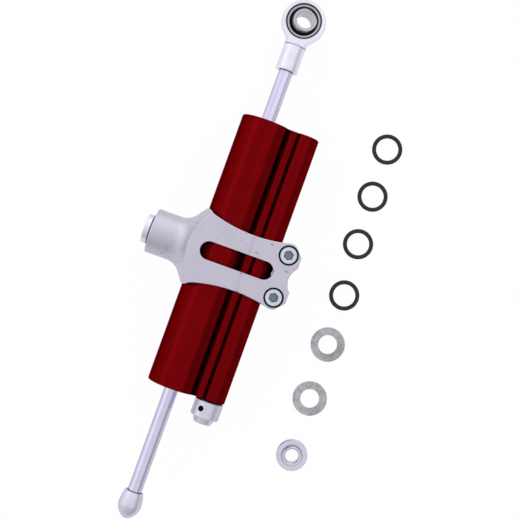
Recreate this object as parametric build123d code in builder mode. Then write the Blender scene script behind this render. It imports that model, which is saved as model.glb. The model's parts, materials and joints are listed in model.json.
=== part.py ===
from build123d import *
import math
import os

os.makedirs("parts", exist_ok=True)

# Motorcycle steering damper, in millimetres. The origin is the centre of the clamp's ball, where the
# frame bolt goes through. +X runs along the rod to its eye, +Y out of the clamp's boss, +Z up from
# the surface that the damper lies on.

# Fits
running_gap = 0.04  # radial, between pieces that turn or slide on each other
seat_gap = 0.02  # between pieces of one assembly that touch
end_gap = 0.1  # along an axis, beside a ring in its groove
overrun = 3.0  # how far a cut runs past the faces that it opens
edge_break = 0.5  # small bevels on turned and milled edges

# Twin tube barrel: the big tube holds the rod and piston, the small one the bypass and reservoir
barrel_length = 158.0
main_radius = 14.65
main_bore_radius = 11.0
tube_spacing = 22.6
reservoir_radius = 8.4
reservoir_bore_radius = 5.5
web_half_height = 6.9
valley_round = 1.2  # where the web meets the big tube
crease_width = 1.3
crease_depth = 1.0
crease_distance = 18.9  # from the rod axis to the crease beside the small tube
port_radius = 1.5

# Rod and what ends it
rod_radius = 4.0
eye_distance = 139.6  # from the clamp to the eye's centre, with the rod as photographed
neck_length = 29.3  # from the eye's centre to the end of its neck
cap_distance = 141.7
cap_length = 15.6
cap_mouth_radius = 5.25
cap_flank_length = 3.9
cap_flank_radius = 6.2
cap_belly_radius = 6.65
cap_dome_length = 2.6
cap_dome_radius = 4.65
cap_tip_radius = 1.65
cap_thread_radius = 3.0
cap_thread_length = 9.0
neck_thread_radius = 3.3
neck_thread_length = 10.7
neck_radius = 6.35
neck_lip_height = 0.3
neck_lip_width = 0.9
neck_blend_radius = 5.5
eye_radius = 12.75
eye_thickness = 8.6
eye_flat_length = 14.6  # from the eye's centre to where the milled flats end on the neck

# Spherical bearings, one in the eye and one in the clamp's boss
ball_radius = 8.0
ball_width = 9.0
ball_bore_radius = 5.0
race_radius = 9.5
eye_race_width = 7.6
clamp_race_width = 6.0
ball_tilt_deg = 13.0  # how far the eye's ball leans in the photograph
ball_lean_deg = -32.0  # which way it leans, counted from +X towards +Y

# Piston
piston_length = 12.0
piston_distance = 16.0  # from mid barrel towards the cap, with the rod as photographed
piston_bore_gap = 0.06
piston_recess_radius = 6.0
piston_recess_depth = 1.1
band_width = 4.8
band_thickness = 1.2
band_groove_depth = 2.34
clip_thickness = 0.9
clip_radius = 5.7
clip_groove_depth = 0.4

# Rod guides, one in each end of the big tube
guide_recess = 2.6  # from the barrel's end to a guide's outer face
guide_length = 24.9
bush_length = 10.0
bush_wall = 1.0
rod_clearance = 0.3
seal_radius = 7.0
seal_length = 5.0
wiper_length = 4.6
wiper_lip_length = 1.2
wiper_lip_radius = 5.0
guide_ring_setback = 7.5  # from a guide's inner face to its O-ring
guide_ring_depth = 1.8
guide_ring_width = 2.6
retainer_thickness = 1.0
retainer_inner_radius = 9.4
retainer_groove_depth = 0.7
retainer_gap = 5.0
retainer_lug_radius = 1.5
retainer_eyelet_radius = 0.7

# Small tube: closing plug and floating piston at the eye's end, needle valve at the cap's end
plug_length = 9.6
plug_recess = 0.5
plug_socket_width = 4.0
plug_socket_depth = 3.5
plug_ring_depth = 1.3
plug_ring_width = 1.7
floater_room = 5.9  # between the plug and the floating piston
floater_length = 6.0
floater_hollow_radius = 3.5
floater_hollow_depth = 3.5
floater_ring_depth = 1.2
floater_ring_width = 1.5
housing_length = 22.9
housing_recess = 0.1
housing_pocket_radius = 3.2
housing_pocket_depth = 5.0
housing_ring_depth = 1.1
housing_ring_width = 1.6
housing_ring_setback = 4.0  # from the housing's inner face
spindle_ring_setback = 9.7  # from the housing's outer face
spindle_ring_width = 1.6
spindle_radius = 2.0
spindle_flange_radius = 3.1
spindle_flange_width = 1.46
needle_length = 22.9
needle_radius = 1.2
needle_taper_length = 4.4
needle_tip_radius = 0.35
needle_reach = 2.4  # how far the needle's tip reaches into the valve seat
needle_room = 1.5  # behind the needle in its threaded bore
valve_seat_spacing = 10.0  # between the housing and the valve seat
valve_seat_length = 6.0
orifice_radius = 1.3

# Adjuster knob, its grub screw and its click ball
knob_gap = 0.6  # between the barrel's end and the knob
knob_radius = 8.2
knob_length = 9.7
knob_nose_radius = 6.3
knob_nose_length = 3.6
knob_nose_end_radius = 4.7
knob_end_wall = 0.9
grub_radius = 1.65
grub_length = 4.0
grub_socket_width = 2.0
grub_socket_depth = 1.6
grub_setback = 4.7  # from the knob's inner face to the grub screw's axis
grub_angle_deg = 23.6  # from straight up towards the big tube
click_ball_radius = 1.0
click_circle_radius = 3.9
click_ball_offset = 0.15  # the ball's centre stands this far out of the housing's face
click_hole_depth = 5.0
click_spring_radius = 0.8
click_wire_radius = 0.14
click_spring_turns = 4

# Clamp
clamp_reach = 35.75  # from the rod axis to the clamp's ball
clamp_half_height = 19.0
clamp_step = 0.9  # the faces step down towards the screws
step_start_distance = 12.0
step_end_distance = 16.2
clamp_gap = 0.05  # radial, round the barrel
shoulder_half_width = 22.0
shoulder_distance = 13.2
flank_distance = 9.5
flank_half_width = 19.9
waist_half_width = 16.3
waist_distance = 13.0
lobe_half_width = 18.9
lobe_start_distance = 35.5
lobe_corner_distance = 38.2
lobe_end_distance = 43.5
lobe_corner_half_width = 13.3
notch_distance = 40.55
notch_half_width = 6.9
notch_mid_drop = 0.7
lobe_round = 3.0
shoulder_round = 3.5
clamp_edge_round = 0.5
boss_radius = 12.8
boss_depth = 4.85  # from the ball's centre to the boss's face
flare_top_distance = 22.5  # where the flare's slope would meet the boss
flare_end_distance = 10.1
flare_end_radius = 29.5
flare_round = 10.0
slot_width = 10.3
slot_near_distance = 5.7
slot_far_distance = 26.3
slit_width = 2.0
screw_spacing = 24.6
screw_distance = 36.3
screw_radius = 3.0
screw_clearance = 0.3
screw_head_radius = 5.0
screw_head_height = 6.0
screw_sink = 0.4
screw_well_radius = 5.65
screw_length = 27.5
screw_socket_width = 5.0
screw_socket_depth = 3.2
bolt_passage_radius = 7.5
circlip_thickness = 1.0
circlip_inner_radius = 8.2
circlip_groove_depth = 0.6
boss_mouth_clearance = 0.2
sleeve_neck_radius = 6.25
sleeve_neck_length = 1.5
sleeve_flange_radius = 8.4
sleeve_flange_length = 3.0
bolt_radius = 4.0

# Loose fitting kit that lies beside the damper
kit_ring_radius = 7.7
kit_ring_section = 1.05
kit_washer_radius = 10.0
kit_washer_bore_radius = 5.5
kit_washer_thickness = 1.6
kit_spacer_radius = 9.1
kit_spacer_flange = 2.5
kit_collar_radius = 5.6
kit_collar_height = 2.5
# Places along the rod and square to it from the rod axis, as shares of the barrel's length
kit_ring_place_shares = ((0.574, 0.445), (0.392, 0.453), (0.209, 0.462), (0.014, 0.478))
kit_washer_place_shares = ((-0.177, 0.482), (-0.386, 0.487))
kit_spacer_place_share = (-0.604, 0.495)

# Places worked out from the sizes
rod_y = -clamp_reach
reservoir_y = rod_y - tube_spacing
half_barrel = barrel_length / 2
guide_end = half_barrel - guide_recess
guide_distance = guide_end - guide_length
neck_distance = eye_distance - neck_length
floor_z = -clamp_half_height
screw_face_z = clamp_half_height - clamp_step
boss_face_distance = clamp_reach + boss_depth
rod_axis = Axis((0, rod_y, 0), (1, 0, 0))
reservoir_axis = Axis((0, reservoir_y, 0), (1, 0, 0))


def across(x, y=rod_y):
    """Plane square to the rod at x, its local x along +Y and its local y up."""
    return Plane(origin=(x, y, 0), x_dir=(0, 1, 0), z_dir=(1, 0, 0))


def lengthwise(y):
    """Level plane on a lengthwise axis, for profiles drawn as (x, radius)."""
    return Plane(origin=(0, y, 0), x_dir=(1, 0, 0), z_dir=(0, 0, 1))


def upright(x, y):
    """Upright plane on a vertical axis, for profiles drawn as (radius, height)."""
    return Plane(origin=(x, y, 0), x_dir=(1, 0, 0), z_dir=(0, -1, 0))


def mirrored(points, side):
    """The same profile at the eye's end (side 1) or the cap's end (side -1)."""
    return [(side * x, radius) for x, radius in points]


def turned(profile, axis):
    """A piece turned about a lengthwise axis from a closed profile of (x, radius) points."""
    with BuildPart() as piece:
        with BuildSketch(lengthwise(axis.position.Y)):
            with BuildLine():
                Polyline(*profile, close=True)
            make_face()
        revolve(axis=axis)
    return piece


def seal_ring(places, mean_radius, section_radius, axis):
    """O-rings round a lengthwise axis, one at each place along it."""
    with BuildPart() as rings:
        with BuildSketch(lengthwise(axis.position.Y)):
            with Locations(*[(x, mean_radius) for x in places]):
                Circle(section_radius)
        revolve(axis=axis)
    return rings


def save(piece, name):
    """Labels a finished piece and writes it under its own name."""
    piece.part.label = name
    export_step(piece.part, f"parts/{name}.step")


# Barrel: one extruded body with two bores, joined by a port near each end
with BuildPart() as barrel_body:
    with BuildSketch(across(-half_barrel)):
        Circle(main_radius)
        with Locations((-tube_spacing, 0)):
            Circle(reservoir_radius)
        with Locations((-tube_spacing / 2, 0)):
            Rectangle(tube_spacing, 2 * web_half_height)
        valley_x = -math.sqrt(main_radius**2 - web_half_height**2)
        valleys = [(valley_x, side * web_half_height) for side in (1, -1)]
        fillet([vertices().sort_by_distance(valley)[0] for valley in valleys], valley_round)
    extrude(amount=barrel_length)
    end_faces = faces().filter_by(Axis.X)
    chamfer(end_faces.edges(), edge_break)
    crease_height = web_half_height - crease_depth
    with BuildSketch(across(-half_barrel - overrun)):
        with Locations(*[(-crease_distance, side * (crease_height + crease_width)) for side in (1, -1)]):
            Rectangle(crease_width, 2 * crease_width)
    extrude(amount=barrel_length + 2 * overrun, mode=Mode.SUBTRACT)
    with BuildSketch(across(-half_barrel - overrun)):
        Circle(main_bore_radius)
        with Locations((-tube_spacing, 0)):
            Circle(reservoir_bore_radius)
    extrude(amount=barrel_length + 2 * overrun, mode=Mode.SUBTRACT)
    for side in (1, -1):
        retainer_x = side * (guide_end + retainer_thickness / 2)
        with BuildSketch(across(retainer_x)):
            Circle(main_bore_radius + retainer_groove_depth)
        extrude(amount=retainer_thickness / 2 + end_gap, both=True, mode=Mode.SUBTRACT)
        port_x = side * (guide_distance - port_radius)
        port_plane = Plane(origin=(port_x, rod_y, 0), x_dir=(1, 0, 0), z_dir=(0, -1, 0))
        with BuildSketch(port_plane):
            Circle(port_radius)
        extrude(amount=tube_spacing, mode=Mode.SUBTRACT)
save(barrel_body, "barrel_body")

# Rod guides with their bushes, seals, wipers and retaining rings
guide_radius = main_bore_radius - seat_gap
guide_ring_x = guide_distance + guide_ring_setback
guide_ring_floor = main_bore_radius - guide_ring_depth
guide_ring_half = guide_ring_width / 2
bush_radius = rod_radius + bush_wall
seal_start = guide_end - wiper_length - seal_length
retainer_radius = main_bore_radius + retainer_groove_depth - end_gap
moving_bore_radius = rod_radius + running_gap

for end, side in (("eye_end", 1), ("cap_end", -1)):
    rod_guide = turned(
        mirrored(
            [
                (guide_distance, bush_radius),
                (guide_distance, guide_radius),
                (guide_ring_x - guide_ring_half, guide_radius),
                (guide_ring_x - guide_ring_half, guide_ring_floor),
                (guide_ring_x + guide_ring_half, guide_ring_floor),
                (guide_ring_x + guide_ring_half, guide_radius),
                (guide_end, guide_radius),
                (guide_end, seal_radius),
                (seal_start, seal_radius),
                (seal_start, rod_radius + rod_clearance),
                (guide_distance + bush_length, rod_radius + rod_clearance),
                (guide_distance + bush_length, bush_radius),
            ],
            side,
        ),
        rod_axis,
    )
    save(rod_guide, f"rod_guide_{end}")

    rod_bush = turned(
        mirrored(
            [
                (guide_distance + seat_gap, moving_bore_radius),
                (guide_distance + seat_gap, bush_radius - seat_gap),
                (guide_distance + bush_length - seat_gap, bush_radius - seat_gap),
                (guide_distance + bush_length - seat_gap, moving_bore_radius),
            ],
            side,
        ),
        rod_axis,
    )
    save(rod_bush, f"rod_bush_{end}")

    # The seal's open side, with its two lips, faces the oil
    seal_mid = (moving_bore_radius + seal_radius) / 2
    seal_end = seal_start + seal_length - seat_gap
    lip_root = seal_start + seal_length / 2
    rod_seal = turned(
        mirrored(
            [
                (seal_start + seat_gap, moving_bore_radius),
                (lip_root, seal_mid),
                (seal_start + seat_gap, seal_radius - seat_gap),
                (seal_end, seal_radius - seat_gap),
                (seal_end, moving_bore_radius),
            ],
            side,
        ),
        rod_axis,
    )
    save(rod_seal, f"rod_seal_{end}")

    wiper_start = seal_start + seal_length
    rod_wiper = turned(
        mirrored(
            [
                (wiper_start, moving_bore_radius + rod_clearance),
                (wiper_start, seal_radius - seat_gap),
                (guide_end - seat_gap, seal_radius - seat_gap),
                (guide_end - seat_gap, wiper_lip_radius),
                (guide_end + wiper_lip_length, moving_bore_radius + seat_gap),
                (guide_end + wiper_lip_length, moving_bore_radius),
                (guide_end, moving_bore_radius),
            ],
            side,
        ),
        rod_axis,
    )
    save(rod_wiper, f"rod_wiper_{end}")

    guide_o_ring = seal_ring(
        [side * guide_ring_x],
        (main_bore_radius + guide_ring_floor) / 2,
        guide_ring_depth / 2 - seat_gap,
        rod_axis,
    )
    save(guide_o_ring, f"guide_o_ring_{end}")

    # Spring ring with two eyelets for the pliers
    with BuildPart() as retaining_ring:
        with BuildSketch(across(side * (guide_end + seat_gap))):
            Circle(retainer_radius)
            Circle(retainer_inner_radius, mode=Mode.SUBTRACT)
            with Locations((0, retainer_radius)):
                Rectangle(retainer_gap, retainer_radius, mode=Mode.SUBTRACT)
            lug_x = retainer_gap / 2 + retainer_lug_radius
            lug_y = math.sqrt(retainer_inner_radius**2 - lug_x**2)
            with Locations((lug_x, lug_y), (-lug_x, lug_y)):
                Circle(retainer_lug_radius)
                Circle(retainer_eyelet_radius, mode=Mode.SUBTRACT)
        extrude(amount=side * (retainer_thickness - seat_gap))
    save(retaining_ring, f"retaining_ring_{end}")

# Rod with a thread at each end and two clip grooves for the piston
clip_groove_radius = rod_radius - clip_groove_depth
piston_seats = piston_length / 2 - piston_recess_depth
cap_side_groove = -piston_distance - piston_seats
eye_side_groove = -piston_distance + piston_seats
groove_width = clip_thickness + 2 * seat_gap
rod_shaft = turned(
    [
        (-cap_distance - cap_thread_length, 0),
        (-cap_distance - cap_thread_length, cap_thread_radius),
        (-cap_distance, cap_thread_radius),
        (-cap_distance, rod_radius),
        (cap_side_groove - groove_width, rod_radius),
        (cap_side_groove - groove_width, clip_groove_radius),
        (cap_side_groove, clip_groove_radius),
        (cap_side_groove, rod_radius),
        (eye_side_groove, rod_radius),
        (eye_side_groove, clip_groove_radius),
        (eye_side_groove + groove_width, clip_groove_radius),
        (eye_side_groove + groove_width, rod_radius),
        (neck_distance, rod_radius),
        (neck_distance, neck_thread_radius),
        (neck_distance + neck_thread_length, neck_thread_radius),
        (neck_distance + neck_thread_length, 0),
    ],
    rod_axis,
)
save(rod_shaft, "rod_shaft")

# Piston with a recess for a clip in each face and a groove for its sealing band
half_piston = piston_length / 2
piston_radius = main_bore_radius - piston_bore_gap
piston_bore_radius = rod_radius + seat_gap
band_groove_half = band_width / 2 + end_gap
band_groove_floor = piston_radius - band_groove_depth
half_profile = [
    (band_groove_half, band_groove_floor),
    (band_groove_half, piston_radius),
    (half_piston, piston_radius),
    (half_piston, piston_recess_radius),
    (piston_seats, piston_recess_radius),
    (piston_seats, piston_bore_radius),
]
piston_profile = half_profile + [(-x, radius) for x, radius in reversed(half_profile)]
piston = turned([(x - piston_distance, radius) for x, radius in piston_profile], rod_axis)
save(piston, "piston")

with BuildPart() as piston_clips:
    for start in (cap_side_groove - seat_gap - clip_thickness, eye_side_groove + seat_gap):
        with BuildSketch(across(start)):
            Circle(clip_radius - seat_gap)
            Circle(clip_groove_radius + seat_gap, mode=Mode.SUBTRACT)
            with Locations((0, clip_radius)):
                Rectangle(rod_radius, clip_radius, mode=Mode.SUBTRACT)
        extrude(amount=clip_thickness)
save(piston_clips, "piston_clips")

# Sealing band and the rubber ring that presses it outwards
band_outer_radius = main_bore_radius - running_gap
band_inner_radius = band_outer_radius - band_thickness
half_band = band_width / 2
piston_band = turned(
    [
        (-piston_distance - half_band, band_inner_radius),
        (-piston_distance - half_band, band_outer_radius),
        (-piston_distance + half_band, band_outer_radius),
        (-piston_distance + half_band, band_inner_radius),
    ],
    rod_axis,
)
save(piston_band, "piston_band")

band_ring_room = band_inner_radius - band_groove_floor
piston_band_ring = seal_ring(
    [-piston_distance],
    band_groove_floor + band_ring_room / 2,
    band_ring_room / 2 - running_gap,
    rod_axis,
)
save(piston_band_ring, "piston_band_ring")

# Rod end: a turned ball end with a round neck, milled flat on both sides and bored for the bearing
eye_bore_radius = race_radius + seat_gap
eye_mouth_radius = eye_bore_radius + edge_break
half_eye = eye_thickness / 2
eye_axis = Axis((eye_distance, rod_y, 0), (0, 0, 1))
with BuildPart() as rod_end_eye:
    with BuildSketch(lengthwise(rod_y)):
        with Locations((eye_distance, 0)):
            Circle(eye_radius)
        with Locations(((neck_distance + eye_distance) / 2, 0)):
            Rectangle(eye_distance - neck_distance, 2 * neck_radius)
        fillet(vertices().group_by(Axis.X)[1], neck_blend_radius)
        with Locations((neck_distance + neck_lip_width / 2, 0)):
            Rectangle(neck_lip_width, 2 * (neck_radius + neck_lip_height))
        with Locations((eye_distance, -eye_radius)):
            Rectangle(4 * eye_radius + 2 * neck_distance, 2 * eye_radius, mode=Mode.SUBTRACT)
    revolve(axis=rod_axis)
    for side in (1, -1):
        with BuildSketch(Plane.XY.offset(side * half_eye)):
            with Locations((eye_distance - eye_flat_length, rod_y)):
                Rectangle(
                    eye_flat_length + eye_radius + overrun,
                    2 * (eye_radius + overrun),
                    align=(Align.MIN, Align.CENTER),
                )
        extrude(amount=side * eye_radius, mode=Mode.SUBTRACT)
    with BuildSketch(upright(eye_distance, rod_y)):
        with BuildLine():
            Polyline(
                (0, -half_eye - edge_break),
                (eye_mouth_radius + edge_break, -half_eye - edge_break),
                (eye_bore_radius, edge_break - half_eye),
                (eye_bore_radius, half_eye - edge_break),
                (eye_mouth_radius + edge_break, half_eye + edge_break),
                (0, half_eye + edge_break),
                close=True,
            )
        make_face()
    revolve(axis=eye_axis, mode=Mode.SUBTRACT)
    with BuildSketch(across(neck_distance)):
        Circle(neck_thread_radius + seat_gap)
    extrude(amount=neck_thread_length + edge_break, mode=Mode.SUBTRACT)
save(rod_end_eye, "rod_end_eye")


def bearing_race(width, plane, axis):
    """Outer ring of a spherical bearing, hollowed to fit its ball and bevelled at both mouths."""
    cup_radius = ball_radius + running_gap
    half_width = width / 2
    bevel = 2 * edge_break
    bevel_height = half_width - edge_break
    bevel_radius = math.sqrt(cup_radius**2 - bevel_height**2)
    outer_bevel = edge_break / 2
    with BuildPart() as race:
        with BuildSketch(plane):
            with BuildLine():
                ThreePointArc((bevel_radius, bevel_height), (cup_radius, 0), (bevel_radius, -bevel_height))
                Polyline(
                    (bevel_radius, -bevel_height),
                    (bevel_radius + bevel, -half_width),
                    (race_radius - outer_bevel, -half_width),
                    (race_radius, outer_bevel - half_width),
                    (race_radius, half_width - outer_bevel),
                    (race_radius - outer_bevel, half_width),
                    (bevel_radius + bevel, half_width),
                    (bevel_radius, bevel_height),
                )
            make_face()
        revolve(axis=axis)
    return race


def bearing_ball(plane, axis):
    """Ball of a spherical bearing, cut flat at both ends and bored."""
    half_width = ball_width / 2
    flat_radius = math.sqrt(ball_radius**2 - half_width**2)
    bore_bevel = edge_break / 2
    with BuildPart() as ball:
        with BuildSketch(plane):
            with BuildLine():
                ThreePointArc((flat_radius, half_width), (ball_radius, 0), (flat_radius, -half_width))
                Polyline(
                    (flat_radius, -half_width),
                    (ball_bore_radius + bore_bevel, -half_width),
                    (ball_bore_radius, bore_bevel - half_width),
                    (ball_bore_radius, half_width - bore_bevel),
                    (ball_bore_radius + bore_bevel, half_width),
                    (flat_radius, half_width),
                )
            make_face()
        revolve(axis=axis)
    return ball


eye_race = bearing_race(eye_race_width, upright(eye_distance, rod_y), eye_axis)
save(eye_race, "eye_bearing_race")

# The eye's ball leans on its tilt axis as photographed
lean = math.radians(ball_lean_deg)
tilt = math.radians(ball_tilt_deg)
tilt_direction = Vector(-math.sin(lean), math.cos(lean), 0)
ball_direction = Vector(
    math.sin(tilt) * math.cos(lean),
    math.sin(tilt) * math.sin(lean),
    math.cos(tilt),
)
eye_centre = (eye_distance, rod_y, 0)
leaning_plane = Plane(origin=eye_centre, x_dir=tilt_direction, z_dir=tilt_direction.cross(ball_direction))
eye_ball = bearing_ball(leaning_plane, Axis(eye_centre, ball_direction))
save(eye_ball, "eye_ball")

# Bulb shaped cap that stops the rod's other end
cap_belly_x = -cap_distance - cap_length / 2
cap_tip_x = -cap_distance - cap_length
with BuildPart() as end_cap:
    with BuildSketch(lengthwise(rod_y)):
        with BuildLine():
            Line((-cap_distance, 0), (-cap_distance, cap_mouth_radius))
            ThreePointArc(
                (-cap_distance, cap_mouth_radius),
                (-cap_distance - cap_flank_length, cap_flank_radius),
                (cap_belly_x, cap_belly_radius),
            )
            ThreePointArc(
                (cap_belly_x, cap_belly_radius),
                (cap_tip_x + cap_dome_length, cap_dome_radius),
                (cap_tip_x, cap_tip_radius),
            )
            Line((cap_tip_x, cap_tip_radius), (cap_tip_x, 0))
            Line((cap_tip_x, 0), (-cap_distance, 0))
        make_face()
    revolve(axis=rod_axis)
    with BuildSketch(across(-cap_distance)):
        Circle(cap_thread_radius + seat_gap)
    extrude(amount=-cap_thread_length - edge_break, mode=Mode.SUBTRACT)
save(end_cap, "end_cap")

# Small tube, eye's end: plug and floating piston
plug_face = half_barrel - plug_recess
plug_ring_x = plug_face - plug_length / 2
plug_ring_floor = reservoir_bore_radius - plug_ring_depth
plug_radius = reservoir_bore_radius - seat_gap
plug_blank = turned(
    [
        (plug_face - plug_length, 0),
        (plug_face - plug_length, plug_radius),
        (plug_ring_x - plug_ring_width / 2, plug_radius),
        (plug_ring_x - plug_ring_width / 2, plug_ring_floor),
        (plug_ring_x + plug_ring_width / 2, plug_ring_floor),
        (plug_ring_x + plug_ring_width / 2, plug_radius),
        (plug_face - edge_break, plug_radius),
        (plug_face, plug_radius - edge_break),
        (plug_face, 0),
    ],
    reservoir_axis,
)
with BuildPart() as reservoir_plug:
    add(plug_blank.part)
    with BuildSketch(across(plug_face, reservoir_y)):
        RegularPolygon(plug_socket_width / 2, 6, major_radius=False)
    extrude(amount=-plug_socket_depth, mode=Mode.SUBTRACT)
save(reservoir_plug, "reservoir_plug")

plug_o_ring = seal_ring(
    [plug_ring_x],
    (reservoir_bore_radius + plug_ring_floor) / 2,
    plug_ring_depth / 2 - seat_gap,
    reservoir_axis,
)
save(plug_o_ring, "plug_o_ring")

floater_radius = reservoir_bore_radius - running_gap
floater_floor = reservoir_bore_radius - floater_ring_depth
floater_end = plug_face - plug_length - floater_room
floater_start = floater_end - floater_length
floater_ring_x = floater_start + floater_length / 3
floating_piston = turned(
    [
        (floater_start, 0),
        (floater_start, floater_radius),
        (floater_ring_x - floater_ring_width / 2, floater_radius),
        (floater_ring_x - floater_ring_width / 2, floater_floor),
        (floater_ring_x + floater_ring_width / 2, floater_floor),
        (floater_ring_x + floater_ring_width / 2, floater_radius),
        (floater_end, floater_radius),
        (floater_end, floater_hollow_radius),
        (floater_end - floater_hollow_depth, floater_hollow_radius),
        (floater_end - floater_hollow_depth, 0),
    ],
    reservoir_axis,
)
save(floating_piston, "floating_piston")

floater_o_ring = seal_ring(
    [floater_ring_x],
    (reservoir_bore_radius + floater_floor) / 2,
    floater_ring_depth / 2 - running_gap,
    reservoir_axis,
)
save(floater_o_ring, "floating_piston_ring")

# Small tube, cap's end: valve seat, valve housing, spindle and needle
housing_face = housing_recess - half_barrel
housing_inner = housing_face + housing_length
valve_seat_start = housing_inner + valve_seat_spacing
valve_seat_end = valve_seat_start + valve_seat_length
valve_seat = turned(
    [
        (valve_seat_start, orifice_radius + edge_break),
        (valve_seat_start, plug_radius),
        (valve_seat_end, plug_radius),
        (valve_seat_end, orifice_radius),
        (valve_seat_start + edge_break, orifice_radius),
    ],
    reservoir_axis,
)
save(valve_seat, "valve_seat")

housing_ring_x = housing_inner - housing_ring_setback
housing_ring_floor = reservoir_bore_radius - housing_ring_depth
spindle_bore_radius = spindle_radius + running_gap
spindle_ring_floor = spindle_radius + housing_ring_depth
spindle_ring_x = housing_face + spindle_ring_setback
spindle_ring_half = spindle_ring_width / 2
housing_ring_half = housing_ring_width / 2
pocket_floor = housing_inner - housing_pocket_depth
housing_blank = turned(
    [
        (housing_face, spindle_bore_radius),
        (housing_face, plug_radius),
        (housing_ring_x - housing_ring_half, plug_radius),
        (housing_ring_x - housing_ring_half, housing_ring_floor),
        (housing_ring_x + housing_ring_half, housing_ring_floor),
        (housing_ring_x + housing_ring_half, plug_radius),
        (housing_inner, plug_radius),
        (housing_inner, housing_pocket_radius),
        (pocket_floor, housing_pocket_radius),
        (pocket_floor, spindle_bore_radius),
        (spindle_ring_x + spindle_ring_half, spindle_bore_radius),
        (spindle_ring_x + spindle_ring_half, spindle_ring_floor),
        (spindle_ring_x - spindle_ring_half, spindle_ring_floor),
        (spindle_ring_x - spindle_ring_half, spindle_bore_radius),
    ],
    reservoir_axis,
)
click_hole_radius = click_ball_radius + seat_gap
with BuildPart() as valve_housing:
    add(housing_blank.part)
    with BuildSketch(across(housing_face, reservoir_y)):
        with Locations((0, -click_circle_radius)):
            Circle(click_hole_radius)
    extrude(amount=click_hole_depth, mode=Mode.SUBTRACT)
save(valve_housing, "valve_housing")

valve_housing_ring = seal_ring(
    [housing_ring_x],
    (reservoir_bore_radius + housing_ring_floor) / 2,
    housing_ring_depth / 2 - seat_gap,
    reservoir_axis,
)
save(valve_housing_ring, "valve_housing_ring")

spindle_o_ring = seal_ring(
    [spindle_ring_x],
    (spindle_radius + spindle_ring_floor) / 2,
    housing_ring_depth / 2 - running_gap,
    reservoir_axis,
)
save(spindle_o_ring, "spindle_o_ring")

# The spindle's inner end is threaded for the needle
needle_tip = valve_seat_start + needle_reach
needle_taper_start = needle_tip - needle_taper_length
needle_tail = needle_tip - needle_length
knob_face = -half_barrel - knob_gap
knob_step = knob_face - knob_length
knob_end = knob_step - knob_nose_length
spindle_outer = knob_end + knob_end_wall
flange_start = pocket_floor + running_gap
flange_end = flange_start + spindle_flange_width
spindle_bore_end = needle_tail - needle_room
needle_bore_radius = needle_radius + running_gap
adjuster_spindle = turned(
    [
        (spindle_outer, 0),
        (spindle_outer, spindle_radius),
        (flange_start, spindle_radius),
        (flange_start, spindle_flange_radius),
        (flange_end, spindle_flange_radius),
        (flange_end, needle_bore_radius),
        (spindle_bore_end, needle_bore_radius),
        (spindle_bore_end, 0),
    ],
    reservoir_axis,
)
save(adjuster_spindle, "adjuster_spindle")

adjuster_needle = turned(
    [
        (needle_tail, 0),
        (needle_tail, needle_radius),
        (needle_taper_start, needle_radius),
        (needle_tip, needle_tip_radius),
        (needle_tip, 0),
    ],
    reservoir_axis,
)
save(adjuster_needle, "adjuster_needle")

# Click ball and spring in the housing, running in a round track in the knob's inner face
click_ball_x = housing_face - click_ball_offset
click_place = (click_ball_x, reservoir_y, -click_circle_radius)
with BuildPart() as click_ball:
    with Locations(click_place):
        Sphere(click_ball_radius)
save(click_ball, "click_ball")

wire_reach = click_ball_radius + click_wire_radius + seat_gap
spring_start = click_ball_x + math.sqrt(wire_reach**2 - click_spring_radius**2)
spring_end = housing_face + click_hole_depth - click_wire_radius - seat_gap
spring_height = spring_end - spring_start
with BuildPart() as click_spring:
    with BuildLine() as coil:
        Helix(
            pitch=spring_height / click_spring_turns,
            height=spring_height,
            radius=click_spring_radius,
            center=(spring_start, reservoir_y, -click_circle_radius),
            direction=(1, 0, 0),
        )
    with BuildSketch(Plane(origin=coil.line @ 0, z_dir=coil.line % 0)):
        Circle(click_wire_radius)
    sweep(path=coil.line, is_frenet=True)
save(click_spring, "click_spring")

# Adjuster knob
knob_blank = turned(
    [
        (knob_face, spindle_radius + seat_gap),
        (knob_face, knob_radius - edge_break),
        (knob_face - edge_break, knob_radius),
        (knob_step + edge_break, knob_radius),
        (knob_step, knob_radius - edge_break),
        (knob_step, knob_nose_radius),
        (knob_end + edge_break, knob_nose_end_radius + edge_break),
        (knob_end, knob_nose_end_radius),
        (knob_end, 0),
        (spindle_outer - seat_gap, 0),
        (spindle_outer - seat_gap, spindle_radius + seat_gap),
    ],
    reservoir_axis,
)
grub_x = knob_face - grub_setback
grub_angle = math.radians(grub_angle_deg)
grub_direction = Vector(0, math.sin(grub_angle), math.cos(grub_angle))
grub_start = spindle_radius + seat_gap
grub_base = Vector(grub_x, reservoir_y, 0)
grub_plane = Plane(origin=grub_base, x_dir=(1, 0, 0), z_dir=grub_direction)
with BuildPart() as adjuster_knob:
    add(knob_blank.part)
    with BuildSketch(grub_plane):
        Circle(grub_radius + seat_gap)
    extrude(amount=knob_radius + overrun, mode=Mode.SUBTRACT)
    with BuildSketch(lengthwise(reservoir_y)):
        with Locations((click_ball_x, click_circle_radius)):
            Circle(click_ball_radius + running_gap)
    revolve(axis=reservoir_axis, mode=Mode.SUBTRACT)
save(adjuster_knob, "adjuster_knob")

with BuildPart() as knob_grub_screw:
    with BuildSketch(grub_plane.offset(grub_start)):
        Circle(grub_radius)
    extrude(amount=grub_length)
    with BuildSketch(grub_plane.offset(grub_start + grub_length)):
        RegularPolygon(grub_socket_width / 2, 6, major_radius=False)
    extrude(amount=-grub_socket_depth, mode=Mode.SUBTRACT)
save(knob_grub_screw, "knob_grub_screw")


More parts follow.
